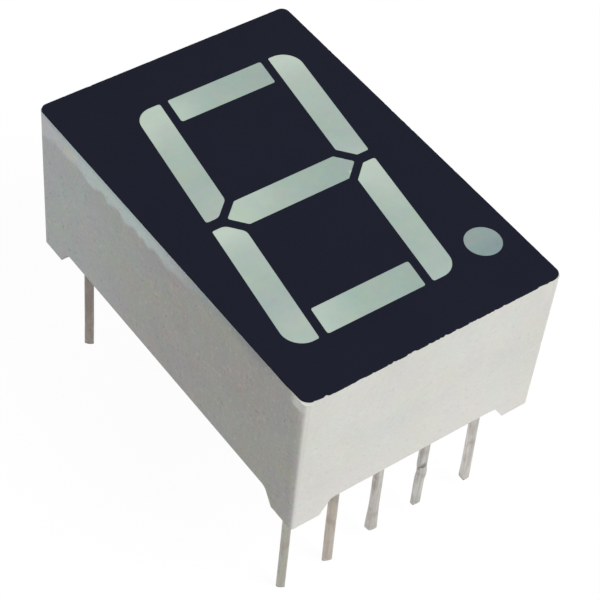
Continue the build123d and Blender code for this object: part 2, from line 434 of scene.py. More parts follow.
# A bluish strip under the face on the front half of the left wall, darker toward the front
COOL_STRIP_TONES = (colour(0.58, 0.68, 0.73), colour(0.49, 0.52, 0.54))
COOL_STRIP_TONES_ALONG = (-3.4, -5.6)
COOL_STRIP = {"along": [(0.0, -2.4), (-8.2, -7.0)], "below": [(0.7, 0.1)], "strength": 0.6}

# Painted highlight: a near-white patch at the top front corner of the left wall, where the edge of
# the face catches light; the same mask sets a clear coat there
CORNER_HIGHLIGHT_TONE = colour(0.97, 0.97, 0.90)
CORNER = {"along": [(WALL_FRONT + 1.05, WALL_FRONT + 0.55)], "below": [(0.63, 0.43)]}
# Painted highlight on the rounded edge between the left wall and the front one
ROUND_EDGE_HIGHLIGHT_TONE = colour(0.97, 0.96, 0.90)
ROUND_EDGE_HIGHLIGHT_ALONG = (WALL_FRONT + 0.5, WALL_FRONT + 0.05)
ROUND_EDGE_HIGHLIGHT_FACING = (-0.15, -0.6)
ROUND_EDGE_HIGHLIGHT_STRENGTH = 0.85

# Pairs of strengths are for the other walls and for the left one
FLECK_TONE = colour(0.5, 0.48, 0.47)
FLECK_SIZE = 0.17
FLECK_LEVELS = (0.68, 0.74)
FLECK_STRENGTHS = (0.24, 0.6)
DOT_TONE = colour(0.96, 0.93, 0.90)
DOT_SIZE = 0.2
DOT_LEVELS = (0.66, 0.74)
DOT_STRENGTH = 0.4
STAIN_SIZE = 0.9
STAIN_LEVELS = (0.5, 0.66)
STAIN_STRENGTHS = (0.12, 0.42)
STAIN_SPECK_SIZE = 0.32
STAIN_TINT = 0.7
SHADE_SIZE = 1.6
SHADE_STRENGTHS = (0.07, 0.14)
SPECK_SIZE = 0.2
SPECK_STRENGTHS = (0.12, 0.22)
SPECK_TINT = 0.6
DUST_SIZE = 0.1
DUST_STRENGTHS = (0.055, 0.18)
DUST_TINT = 0.25
DUST_LEVELS = (0.52, 0.68)
DUST_SHARES = (0.6, 2.0)


class Wall(Finish):
    """The finish of the moulded walls, with masks for what only the left one shows."""

    def __init__(self, name):
        super().__init__(name)
        _, self.y, z = self.split(self.place)
        self.below_top = self.math("SUBTRACT", WALL_TOP, z)
        self.facing_x = self.split(self.facing)[0]
        self.on_left = self.rise(self.facing_x, *LEFT_FACING)

    def patch(self, along=(), below=(), strength=1.0):
        """A mask on the left wall, of this strength where every change is whole."""
        fades = [self.rise(self.y, *ends) for ends in along]
        fades += [self.rise(self.below_top, *ends) for ends in below]
        return self.product(self.on_left, *fades, strength)

    def by_side(self, others, left):
        return self.rise(self.on_left, 0.0, 1.0, others, left)


def wall_tones(wall):
    """The moulding's tone, lighter toward the feet, with painted shade over the left wall, painted
    light toward its back and a painted highlight near its front edge.
    """
    tone = wall.mix(wall.cloud(MOULDING_CLOUD), *MOULDING_TONES)
    at_feet = wall.rise(wall.below_top, *FEET_BELOW, 0.0, FEET_STRENGTH)
    tone = wall.mix(at_feet, tone, FEET_TONE)
    # Painted shade over the left wall, painted light toward its back and a painted highlight near
    # its front edge
    tone = wall.mix(wall.patch(**LEFT_WALL_SHADE), tone, LEFT_WALL_SHADE_TONE)
    tone = wall.mix(wall.patch(**FAR_WALL_LIGHT), tone, FAR_WALL_LIGHT_TONE)
    return wall.mix(wall.patch(**NEAR_EDGE_HIGHLIGHT), tone, NEAR_EDGE_HIGHLIGHT_TONE)


def pale_band(wall):
    """The pale band under the face, with a wavy lower edge: where it is, and its tone. The band
    stands for the edge of the face, and its lightness and cyan tint on the shaded wall are painted
    light.
    """
    wave = wall.drift(1.0, place=wall.stretched(*BAND_WAVE_STRETCH))
    wave = wall.rise(wave, *NOISE_SPREAD, *BAND_WAVE)
    depth = wall.product(wall.rise(wall.y, *BAND_DEPTHS_ALONG, *BAND_DEPTHS), wave)
    end_depth = wall.rise(wall.y, *BAND_END_ALONG, 0.0, BAND_END_DEPTH)
    inside = wall.math("SUBTRACT", wall.math("ADD", depth, end_depth), wall.below_top)
    band = wall.product(
        wall.rise(inside, *BAND_EDGE), wall.rise(wall.y, *BAND_ALONG), wall.on_left
    )
    tone = wall.mix(wall.rise(wall.y, *BAND_LIT_TONES_ALONG), *BAND_LIT_TONES)
    brim = wall.rise(wall.below_top, *BRIM_BELOW, 0.0, BRIM_STRENGTH)
    return band, wall.mix(brim, tone, BRIM_TONE)


def wall_specks(wall, tone):
    """A tone with dark flecks, light dots, stains and ever finer specks."""
    fleck = wall.rise(wall.drift(FLECK_SIZE, detail=1.0), *FLECK_LEVELS)
    fleck = wall.product(fleck, wall.by_side(*FLECK_STRENGTHS))
    tone = wall.mix(fleck, tone, FLECK_TONE)
    dot = wall.rise(wall.drift(DOT_SIZE, detail=1.0), *DOT_LEVELS, 0.0, DOT_STRENGTH)
    tone = wall.mix(wall.product(dot, wall.on_left), tone, DOT_TONE)
    stains = wall.drift(STAIN_SIZE)
    stained = wall.product(wall.rise(stains, *STAIN_LEVELS), wall.by_side(*STAIN_STRENGTHS))
    tone = wall.speckle(tone, STAIN_SPECK_SIZE, stained, STAIN_TINT)
    tone = wall.speckle(tone, SHADE_SIZE, wall.by_side(*SHADE_STRENGTHS))
    tone = wall.speckle(tone, SPECK_SIZE, wall.by_side(*SPECK_STRENGTHS), SPECK_TINT)
    dusty = wall.rise(stains, *DUST_LEVELS, *DUST_SHARES)
    dusty = wall.product(wall.by_side(*DUST_STRENGTHS), dusty)
    return wall.speckle(tone, DUST_SIZE, dusty, DUST_TINT)


def white_moulding():
    wall = Wall("white_moulding")
    band, band_lit_tone = pale_band(wall)
    # Painted light: the pale band's lit tone
    tone = wall.mix(band, wall_tones(wall), band_lit_tone)
    tone = wall.mix(wall.patch(**WARM_SPOT), tone, WARM_SPOT_TONE)
    cool_strip_tone = wall.mix(wall.rise(wall.y, *COOL_STRIP_TONES_ALONG), *COOL_STRIP_TONES)
    tone = wall.mix(wall.patch(**COOL_STRIP), tone, cool_strip_tone)

    # Painted highlight at the top front corner of the left wall
    corner = wall.patch(**CORNER)
    tone = wall.mix(corner, tone, CORNER_HIGHLIGHT_TONE)
    # Painted highlight on the rounded front edge of the left wall
    round_edge_highlight = wall.product(
        wall.rise_straight(wall.y, *ROUND_EDGE_HIGHLIGHT_ALONG),
        wall.rise(wall.facing_x, *ROUND_EDGE_HIGHLIGHT_FACING),
        ROUND_EDGE_HIGHLIGHT_STRENGTH,
    )
    tone = wall.mix(round_edge_highlight, tone, ROUND_EDGE_HIGHLIGHT_TONE)
    band_gloss = wall.product(band, wall.rise(wall.y, *BAND_GLOSS_ALONG, *BAND_GLOSS))
    wall.skin(MOULDING_GRAIN, MOULDING_BUMP)
    wall.set(
        Base_Color=wall_specks(wall, tone),
        Specular_IOR_Level=MOULDING_SPECULAR,
        Coat_Weight=wall.math("MAXIMUM", band_gloss, corner),
        Coat_Roughness=MOULDING_GLOSS_ROUGHNESS,
    )
    return wall.material


# The black coat

COAT_TONES = (colour(0.0104, 0.0119, 0.0228), colour(0.0112, 0.0127, 0.0240))
COAT_CLOUD = 2.5
COAT_SPECKS = (0.09, 0.0015)
COAT_GRAIN = (0.08, 0.55, 0.75)
COAT_BUMP = (0.15, 0.006)
COAT_SPECULAR = 0.04


def black_coat():
    finish = Finish("black_coat")
    tone = finish.mix(finish.cloud(COAT_CLOUD), *COAT_TONES)
    finish.skin(COAT_GRAIN, COAT_BUMP)
    finish.set(Base_Color=finish.speckle(tone, *COAT_SPECKS), Specular_IOR_Level=COAT_SPECULAR)
    return finish.material


# The milky resin of the segments: bars lie across the digit, and strokes run up its sides

BAR_STOPS = (
    (0.05, colour(0.475, 0.578, 0.503)),
    (0.35, colour(0.405, 0.498, 0.442)),
    (0.95, colour(0.345, 0.436, 0.392)),
)
STROKE_STOPS = (
    (0.06, colour(0.515, 0.612, 0.533)),
    (0.28, colour(0.442, 0.530, 0.468)),
    (0.5, colour(0.394, 0.489, 0.436)),
    (0.72, colour(0.380, 0.470, 0.428)),
    (0.97, colour(0.430, 0.510, 0.463)),
)
RESIN_DRIFT_SIZE = 2.6
RESIN_DRIFT_LEVELS = (0.2, 0.8)
RESIN_DRIFT = (-0.12, 0.12)
BAR_ENDS = (BAR_HALF_LENGTH + 0.25, BAR_HALF_LENGTH + 0.1)
BAR_TIPS = (BAR_HALF_LENGTH + 0.8, BAR_HALF_LENGTH + 0.7)
BAR_TIP_HEIGHTS = (0.4, 0.3)
END_BAR_TONE = colour(0.352, 0.445, 0.402)
END_BAR_HEIGHTS = (3.0, 5.0)
END_BAR_STRENGTH = 0.6
END_BAR_SHARES = (0.0, 0.35)
# Lit are the upper ends of the strokes on the upper right and the lower left
LIT_END_TONE = colour(0.60, 0.70, 0.60)
LIT_END_SIDES = (0.5, 2.0)
LIT_END_SHARES = (0.3, 0.05)
LIT_END_STRENGTH = 0.5
WARM_RESIN_TONE = colour(0.46, 0.53, 0.43)
WARM_RESIN_SIZE = 1.9
WARM_RESIN_LEVELS = (0.5, 0.75)
WARM_RESIN_STRENGTH = 0.25
POINT_TONES = (colour(0.236, 0.325, 0.315), colour(0.278, 0.356, 0.345))
POINT_TONES_ALONG = (POINT_Y - 0.5, POINT_Y + 0.4)
POINT_EDGE = (1.25, 1.1)
RESIN_SPECKS = ((1.1, 0.07), (0.3, 0.06))
RESIN_GRAIN = (0.2, 0.3, 0.42)
RESIN_BUMP = (0.12, 0.006)
RESIN_SPECULAR = 0.15


def milky_resin():
    finish = Finish("milky_resin")
    x, y, _ = finish.split(finish.place)
    upright_x = finish.math("SUBTRACT", x, finish.math("MULTIPLY", y, DIGIT_SLOPE))
    aside = finish.math("SUBTRACT", upright_x, DIGIT_MIDDLE)
    across = finish.math("ABSOLUTE", aside)
    up = finish.math("ABSOLUTE", y)
    drift = finish.drift(RESIN_DRIFT_SIZE, detail=0.6)
    drift = finish.rise(drift, *RESIN_DRIFT_LEVELS, *RESIN_DRIFT)

    along_bar = finish.rise_straight(aside, -BAR_HALF_LENGTH, BAR_HALF_LENGTH)
    along_bar = finish.math("ADD", along_bar, drift)
    on_end_bar = finish.product(
        finish.rise(up, *END_BAR_HEIGHTS, 0.0, END_BAR_STRENGTH),
        finish.rise(along_bar, *END_BAR_SHARES),
    )
    bar_tone = finish.mix(on_end_bar, finish.ramp(along_bar, BAR_STOPS), END_BAR_TONE)

    above_start = finish.math("FRACT", finish.product(y, 1 / DIGIT_HALF_HEIGHT))
    below_end = finish.math("SUBTRACT", 1.0, above_start)
    stroke_tone = finish.ramp(finish.math("ADD", below_end, drift), STROKE_STOPS)
    lit_end = finish.product(
        finish.rise(finish.product(aside, y), *LIT_END_SIDES),
        finish.rise(below_end, *LIT_END_SHARES),
        LIT_END_STRENGTH,
    )
    stroke_tone = finish.mix(lit_end, stroke_tone, LIT_END_TONE)

    on_bar = finish.rise(across, *BAR_ENDS)
    on_bar_tip = finish.product(finish.rise(across, *BAR_TIPS), finish.rise(up, *BAR_TIP_HEIGHTS))
    tone = finish.mix(finish.math("MAXIMUM", on_bar, on_bar_tip), stroke_tone, bar_tone)
    warm = finish.drift(WARM_RESIN_SIZE, detail=0.5)
    warm = finish.rise(warm, *WARM_RESIN_LEVELS, 0.0, WARM_RESIN_STRENGTH)
    tone = finish.mix(warm, tone, WARM_RESIN_TONE)

    to_point = finish.vector("SUBTRACT", finish.joined(x, y, 0.0), (POINT_X, POINT_Y, 0.0))
    on_point = finish.rise(finish.length(to_point), *POINT_EDGE)
    point_tone = finish.mix(finish.rise(y, *POINT_TONES_ALONG), *POINT_TONES)
    tone = finish.mix(on_point, tone, point_tone)
    for specks in RESIN_SPECKS:
        tone = finish.speckle(tone, *specks)
    finish.skin(RESIN_GRAIN, RESIN_BUMP)
    finish.set(Base_Color=tone, Specular_IOR_Level=RESIN_SPECULAR)
    return finish.material


# The tinned wire of the pins

ROW_ENDS = (-5.6, 5.6)
ROW_CHANGE = (-1.0, 1.0)
LOWER_ROW_STOPS = (
    (0.05, colour(0.39, 0.39, 0.33)),
    (0.27, colour(0.49, 0.43, 0.365)),
    (0.5, colour(0.57, 0.553, 0.525)),
    (0.73, colour(0.55, 0.537, 0.511)),
    (0.95, colour(0.66, 0.632, 0.603)),
)
# Painted shade: the upper row, in the body's shadow, is darker than the lower one, most at its left
# end
UPPER_ROW_SHADE_STOPS = ((0.05, colour(0.2, 0.167, 0.15)), (0.6, colour(0.36, 0.32, 0.28)))
DRAWN_TONE = colour(0.36, 0.34, 0.31)
DRAWN_CLOUD = (0.12, 1.5)
DRAWN_STRETCH = (1.0, 1.0, 0.06)
# For the lower row and the upper one
DRAWN_STRENGTHS = (0.6, 0.25)
BLOTCH_TONE = colour(0.31, 0.27, 0.24)
BLOTCH_SIZE = 0.7
BLOTCH_STRETCH = (1.0, 1.0, 0.8)
BLOTCH_LEVELS = (0.5, 0.68)
BLOTCH_STRENGTH = 0.5
MARK_TONE = colour(0.14, 0.13, 0.12)
MARK_PLACE = (MARKED_PIN_X, MARKED_PIN_Y, PIN_KINK_LEVEL + 0.4)
MARK_SLANT = (-0.26, 1.67, 1.0)
MARK_EDGE = (0.24, 0.04)
MARK_REACH = (1.2, 0.9)
MARK_WANDER = (-0.07, 0.07)
MARK_LEVELS = (0.35, 0.6)
MARK_STRENGTHS = (0.35, 0.8)
MARK_NOISE_SIZE = 0.22
LONG_PINS_END = (LAST_LONG_PIN_X, LAST_LONG_PIN_X + 1.0)
LOWER_TIPS = (LONG_TIP_LEVEL * TO_MM, SHORT_TIP_LEVEL * TO_MM)
UPPER_TIPS = UPPER_TIP_LEVEL * TO_MM
# Painted shade: the pins grow darker over their last millimetre, and darkest right at the tip
TIP_SHADE_TONE = colour(0.27, 0.26, 0.22)
TIP_SHADE_REACH = (1.2, 0.1)
TIP_SHADE_STRENGTH = 0.22
TIP_END_SHADE_TONE = colour(0.13, 0.115, 0.115)
TIP_END_SHADE_REACH = (0.16, 0.02)
TIP_END_SHADE_STRENGTH = 0.6
WIRE_SPECKS = (0.1, 0.1)
WIRE_GRAIN = (0.1, 0.28, 0.5)
WIRE_GRAIN_STRETCH = (1.0, 1.0, 0.15)
WIRE_BUMP = (0.3, 0.01)


def dark_mark(finish, x, y):
    """The slanting dark band on one pin of the lower row, near its kink."""
    off_mark = finish.dot(finish.vector("SUBTRACT", finish.place, MARK_PLACE), MARK_SLANT)
    mark_noise = finish.drift(MARK_NOISE_SIZE)
    off_mark = finish.math("ADD", off_mark, finish.rise(mark_noise, *NOISE_SPREAD, *MARK_WANDER))
    off_pin = finish.math("SUBTRACT", x, MARKED_PIN_X)
    return finish.product(
        finish.rise(finish.math("ABSOLUTE", off_mark), *MARK_EDGE),
        finish.rise(finish.math("ABSOLUTE", off_pin), *MARK_REACH),
        finish.rise(y, *reversed(ROW_CHANGE)),
        finish.rise(mark_noise, *MARK_LEVELS, *MARK_STRENGTHS),
    )


def tinned_wire():
    finish = Finish("tinned_wire")
    x, y, z = finish.split(finish.place)
    upper_row = finish.rise(y, *ROW_CHANGE)
    along_row = finish.rise_straight(x, *ROW_ENDS)
    lower_tone = finish.ramp(along_row, LOWER_ROW_STOPS)
    # Painted shade on the upper row of pins
    tone = finish.mix(upper_row, lower_tone, finish.ramp(along_row, UPPER_ROW_SHADE_STOPS))
    drawn = finish.cloud(*DRAWN_CLOUD, finish.stretched(*DRAWN_STRETCH))
    drawn = finish.product(drawn, finish.rise(upper_row, 0.0, 1.0, *DRAWN_STRENGTHS))
    tone = finish.mix(drawn, tone, DRAWN_TONE)
    blotch = finish.drift(BLOTCH_SIZE, detail=3.0, place=finish.stretched(*BLOTCH_STRETCH))
    blotch = finish.rise(blotch, *BLOTCH_LEVELS, 0.0, BLOTCH_STRENGTH)
    tone = finish.mix(blotch, tone, BLOTCH_TONE)
    tone = finish.mix(dark_mark(finish, x, y), tone, MARK_TONE)

    lower_tip = finish.rise(x, *LONG_PINS_END, *LOWER_TIPS)
    above_tip = finish.math("SUBTRACT", z, finish.rise(y, *ROW_CHANGE, lower_tip, UPPER_TIPS))
    # Painted shade near the tips of the pins
    tip_shade = finish.rise(above_tip, *TIP_SHADE_REACH, 0.0, TIP_SHADE_STRENGTH)
    tone = finish.mix(tip_shade, tone, TIP_SHADE_TONE)
    cut = finish.rise(above_tip, *TIP_END_SHADE_REACH, 0.0, TIP_END_SHADE_STRENGTH)
    tone = finish.mix(cut, tone, TIP_END_SHADE_TONE)
    finish.skin(WIRE_GRAIN, WIRE_BUMP, finish.stretched(*WIRE_GRAIN_STRETCH))
    finish.set(Base_Color=finish.speckle(tone, *WIRE_SPECKS), Metallic=1.0)
    return finish.material


# The back and the inside

POTTING_TONES = (colour(0.46, 0.51, 0.43), colour(0.56, 0.59, 0.50))
POTTING_CLOUD = 2.8
POTTING_PATCH_TONE = colour(0.52, 0.55, 0.47)
POTTING_PATCHES = (0.8, 1.5)
POTTING_SPECKS = (0.2, 0.03)
POTTING_GRAIN = (0.5, 0.16, 0.3)
POTTING_BUMP = (0.15, 0.02)

BOARD_TONES = (colour(0.20, 0.29, 0.12), colour(0.28, 0.36, 0.17))
BOARD_GRAIN = (0.2, 0.4, 0.55)
WEAVE_STRETCHES = ((6.0, 0.6, 1.0), (0.6, 6.0, 1.0))
WEAVE_LEVELS = (0.4, 0.7)
WEAVE_BUMP = (0.2, 0.02)

PLATED_CLOUD = 0.6
PLATED_BUMP = (0.2, 0.004)
COPPER_TONES = (colour(0.66, 0.33, 0.18), colour(0.78, 0.43, 0.26))
COPPER_GRAIN = (0.08, 0.3, 0.45)
GOLD_TONES = (colour(0.84, 0.58, 0.2), colour(0.95, 0.72, 0.3))
GOLD_GRAIN = (0.08, 0.2, 0.3)

CHIP_TONES = (colour(0.44, 0.36, 0.13), colour(0.56, 0.48, 0.19))
CHIP_CLOUD = 0.15
CHIP_GRAIN = (0.05, 0.15, 0.3)


def potting():
    finish = Finish("potting")
    tone = finish.mix(finish.cloud(POTTING_CLOUD), *POTTING_TONES)
    tone = finish.mix(finish.cloud(*POTTING_PATCHES), tone, POTTING_PATCH_TONE)
    finish.skin(POTTING_GRAIN, POTTING_BUMP)
    finish.set(Base_Color=finish.speckle(tone, *POTTING_SPECKS))
    return finish.material


def board_laminate():
    finish = Finish("board_laminate")
    threads = [finish.drift(1.0, place=finish.stretched(*stretch)) for stretch in WEAVE_STRETCHES]
    weave = finish.math("MAXIMUM", *threads)
    tone = finish.mix(finish.rise(weave, *WEAVE_LEVELS), *BOARD_TONES)
    finish.skin(BOARD_GRAIN)
    finish.set(Base_Color=tone, Normal=finish.bump(weave, *WEAVE_BUMP))
    return finish.material


def plated_metal(name, tones, grain):
    finish = Finish(name)
    finish.skin(grain, PLATED_BUMP)
    finish.set(Base_Color=finish.mix(finish.cloud(PLATED_CLOUD), *tones), Metallic=1.0)
    return finish.material


def chip_crystal():
    finish = Finish("chip_crystal")
    finish.skin(CHIP_GRAIN)
    finish.set(Base_Color=finish.mix(finish.cloud(CHIP_CLOUD), *CHIP_TONES))
    return finish.material


FINISHES = {
    "white_moulding": white_moulding(),
    "black_coat": black_coat(),
    "milky_resin": milky_resin(),
    "tinned_wire": tinned_wire(),
    "potting": potting(),
    "board_laminate": board_laminate(),
    "copper": plated_metal("copper", COPPER_TONES, COPPER_GRAIN),
    "chip_crystal": chip_crystal(),
    "bond_gold": plated_metal("bond_gold", GOLD_TONES, GOLD_GRAIN),
}

for subpart in frame["record"]["subparts"]:
    mesh = frame["nodes"][subpart["node"]].data
    mesh.materials.clear()
    mesh.materials.append(FINISHES[subpart["material_slot"]])


# Finer pieces, made by geometry nodes

def shape_group(name, inputs):
    """A geometry node group with named sizes and a material."""
    inputs = {**inputs, "Material": MATERIAL}
    return new_group("GeometryNodeTree", name, inputs, {"Geometry": GEOMETRY})


def finish_shape(tree, geometry, material, leave):
    real = tree.node("GeometryNodeRealizeInstances", {0: geometry})
    inputs = {"Geometry": real.outputs[0], "Material": material}
    tree.fill(leave, {0: tree.node("GeometryNodeSetMaterial", inputs).outputs[0]})


def moved(tree, geometry, **changes):
    """The geometry with its points shifted by Offset or put at Position."""
    inputs = {"Geometry": geometry, **changes}
    return tree.node("GeometryNodeSetPosition", inputs).outputs[0]


def shaped_piece(name, group, values):
    """A plain mesh made by a geometry node group with these sizes."""
    maker = bpy.data.objects.new(name, bpy.data.meshes.new(name))
    bpy.context.scene.collection.objects.link(maker)
    modifier = maker.modifiers.new("shape", "NODES")
    modifier.node_group = group
    sockets = [item for item in group.interface.items_tree if item.in_out == "INPUT"]
    for socket in sockets:
        modifier[socket.identifier] = values[socket.name]
    bpy.context.view_layer.update()
    seen = maker.evaluated_get(bpy.context.evaluated_depsgraph_get())
    mesh = bpy.data.meshes.new_from_object(seen)
    maker.modifiers.remove(modifier)
    maker.data = mesh
    mesh.name = name
    return maker


def pin_shift(tree, entry, place, level, tip_level):
    """How far a pin's axis stands off its straight line, by its sway, bend, lean and kink."""
    held = entry["Held Above"]
    wander = tree.noise(place, entry["Sway Size"], detail=1.0)[1]
    wander = tree.vector("SUBTRACT", wander, NOISE_MIDDLES)
    wander = tree.vector("MULTIPLY", wander, (1.0, 1.0, 0.0))
    free = tree.rise(level, held, tip_level)
    sway = tree.scaled(wander, tree.math("MULTIPLY", entry["Sway"], free))
    bend_end = tree.math("SUBTRACT", held, entry["Bend Depth"])
    bend = tree.rise(level, held, bend_end, 0.0, entry["Bend"])
    lean = tree.product(tree.rise_straight(level, held, tip_level), entry["Lean"])
    off_kink = tree.math("ABSOLUTE", tree.math("SUBTRACT", level, entry["Kink Level"]))
    kink = tree.rise(off_kink, entry["Kink Reach"], 0.0, 0.0, entry["Kink"])
    across = tree.math("ADD", bend, tree.math("ADD", lean, kink))
    return tree.vector("ADD", sway, tree.joined(across, 0.0, 0.0))


def pin_clip(tree, entry, off_axis, level, tip_level):
    """How far the skin near a pin's tip moves to leave a thin, sloping edge."""
    clip_end = tree.math("ADD", tip_level, entry["Clip Length"])
    clipped = tree.rise_straight(level, clip_end, tip_level)
    deep = tree.dot(off_axis, entry["Clip Depth"])
    thinner = tree.math("SUBTRACT", entry["Clip Thickness"], 1.0)
    pressed = tree.scaled(entry["Clip Depth"], tree.product(deep, clipped, thinner))
    aside = tree.dot(off_axis, entry["Clip Edge"])
    off_apex = tree.math("SUBTRACT", aside, tree.product(entry["Apex"], entry["Radius"]))
    lifted = tree.product(tree.math("ABSOLUTE", off_apex), entry["Vee"], clipped)
    return tree.vector("ADD", pressed, tree.joined(0.0, 0.0, lifted))


def make_pin_group():
    """A drawn wire from its tip to its head, uneven below the resin, with a clipped end."""
    sizes = (
        "Radius", "Girth", "Flare", "Flare Length", "Clip Length", "Clip Thickness", "Vee", "Apex",
        "Sway", "Sway Size", "Held Above", "Bend", "Bend Depth", "Lean",
        "Kink", "Kink Level", "Kink Reach",
    )
    inputs = {
        **dict.fromkeys(("Tip", "Head", "Clip Edge", "Clip Depth"), VECTOR),
        **dict.fromkeys(sizes, VALUE),
        **dict.fromkeys(("Rings", "Sides"), WHOLE),
    }
    group, tree, entry, leave = shape_group("drawn_pin", inputs)
    ends = {"Start": entry["Tip"], "End": entry["Head"]}
    line = tree.node("GeometryNodeCurvePrimitiveLine", ends).outputs[0]
    steps = {"Curve": line, "Count": entry["Rings"]}
    axis = tree.node("GeometryNodeResampleCurve", steps).outputs[0]
    place = tree.node("GeometryNodeInputPosition").outputs[0]
    level = tree.split(place)[2]
    tip_level = tree.split(entry["Tip"])[2]
    axis = moved(tree, axis, Offset=pin_shift(tree, entry, place, level, tip_level))
    kept = tree.node("GeometryNodeCaptureAttribute", {0: axis})
    kept.capture_items.new("VECTOR", "Axis")
    tree.fill(kept.inputs, {1: place})

    flare_end = tree.math("ADD", tip_level, entry["Flare Length"])
    flare = tree.rise(level, flare_end, tip_level, 0.0, entry["Flare"])
    girth = tree.product(entry["Radius"], entry["Girth"], tree.math("ADD", flare, 1.0))
    circle = {"Resolution": entry["Sides"], "Radius": 1.0}
    ring = tree.node("GeometryNodeCurvePrimitiveCircle", circle).outputs[0]
    skin = {"Curve": kept.outputs[0], "Profile Curve": ring, "Scale": girth, "Fill Caps": True}
    wire = tree.node("GeometryNodeCurveToMesh", skin).outputs[0]
    off_axis = tree.vector("SUBTRACT", place, kept.outputs[1])
    wire = moved(tree, wire, Offset=pin_clip(tree, entry, off_axis, level, tip_level))
    finish_shape(tree, wire, entry["Material"], leave)
    return group


def rounded_sheet(tree, entry, place, half, away):
    """A grid over the resin's back, with the corners of its outline rounded."""
    columns = tree.math("CEIL", tree.math("DIVIDE", entry["Width"], entry["Cell"]))
    rows = tree.math("CEIL", tree.math("DIVIDE", entry["Length"], entry["Cell"]))
    sheet = tree.node("GeometryNodeMeshGrid", {
        "Size X": entry["Width"],
        "Size Y": entry["Length"],
        "Vertices X": columns,
        "Vertices Y": rows,
    })
    corner = entry["Corner"]
    straight = tree.vector("SUBTRACT", half, tree.joined(corner, corner, 0.0))
    past = tree.vector("MAXIMUM", tree.vector("SUBTRACT", away, straight))
    allowed = tree.math("DIVIDE", corner, tree.math("MAXIMUM", tree.length(past), corner))
    outline = tree.vector("MINIMUM", away, straight)
    outline = tree.vector("ADD", outline, tree.scaled(past, allowed))
    outline = tree.vector("MULTIPLY", outline, tree.vector("SIGN", place))
    return moved(tree, sheet.outputs[0], Position=outline)


def resin_level(tree, entry, place, half, away):
    """How high the resin's back lies: it waves a little, and climbs the walls and the pins."""
    to_wall_x, to_wall_y, _ = tree.split(tree.vector("SUBTRACT", half, away))
    wall_distance = tree.math("MINIMUM", to_wall_x, to_wall_y)
    wall_climb = tree.rise(wall_distance, entry["Wall Reach"], 0.0, 0.0, entry["Wall Climb"])
    pins = tree.node("GeometryNodeMeshGrid", {
        "Size X": entry["Row Length"],
        "Size Y": entry["Row Spacing"],
        "Vertices X": entry["Pins"],
        "Vertices Y": entry["Rows"],
    })
    nearest = tree.node("GeometryNodeProximity", {0: pins.outputs[0]}, target_element="POINTS")
    pin_distance = tree.math("SUBTRACT", nearest.outputs["Distance"], entry["Pin Radius"])
    pin_climb = tree.rise(pin_distance, entry["Pin Reach"], 0.0, 0.0, entry["Pin Climb"])
    wave = tree.noise(place, entry["Wave Size"], detail=1.0)[0]
    wave = tree.math("MULTIPLY", tree.math("SUBTRACT", wave, NOISE_MIDDLE), entry["Wave"])
    level = tree.math("ADD", entry["Back"], tree.math("ADD", entry["Sag"], wave))
    return tree.math("SUBTRACT", level, tree.math("MAXIMUM", wall_climb, pin_climb))


def make_potting_group():
    """Resin that fills the back: it sags in the middle, and climbs the walls and the pins."""
    sizes = (
        "Width", "Length", "Back", "Front", "Corner", "Cell", "Sag", "Wave", "Wave Size",
        "Wall Climb", "Wall Reach", "Pin Climb", "Pin Reach",
        "Row Length", "Row Spacing", "Pin Radius", "Merge Distance",
    )
    inputs = {**dict.fromkeys(sizes, VALUE), **dict.fromkeys(("Pins", "Rows"), WHOLE)}
    group, tree, entry, leave = shape_group("potting_fill", inputs)
    place = tree.node("GeometryNodeInputPosition").outputs[0]
    half = tree.scaled(tree.joined(entry["Width"], entry["Length"], 0.0), 0.5)
    away = tree.vector("ABSOLUTE", place)
    sheet = rounded_sheet(tree, entry, place, half, away)
    level = resin_level(tree, entry, place, half, away)
    sheet = moved(tree, sheet, Offset=tree.joined(0.0, 0.0, level))
    back = tree.node("GeometryNodeFlipFaces", {"Mesh": sheet}).outputs[0]
    depth = tree.joined(0.0, 0.0, tree.math("SUBTRACT", entry["Front"], entry["Back"]))
    walls = {"Mesh": sheet, "Offset": depth, "Individual": False}
    sides = tree.node("GeometryNodeExtrudeMesh", walls).outputs
    across, along, _ = tree.split(place)
    front = tree.joined(across, along, entry["Front"])
    sides = moved(tree, sides["Mesh"], Selection=sides["Top"], Position=front)
    shell = tree.node("GeometryNodeJoinGeometry")
    for part in (back, sides):
        tree.fill(shell.inputs, {0: part})
    seams = {"Geometry": shell.outputs[0], "Distance": entry["Merge Distance"]}
    closed = tree.node("GeometryNodeMergeByDistance", seams).outputs[0]
    smooth = tree.node("GeometryNodeSetShadeSmooth", {"Geometry": closed}).outputs[0]
    finish_shape(tree, smooth, entry["Material"], leave)
    return group


def add_piece(piece, slot, *nodes):
    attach(piece, "root")
    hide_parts(*nodes)


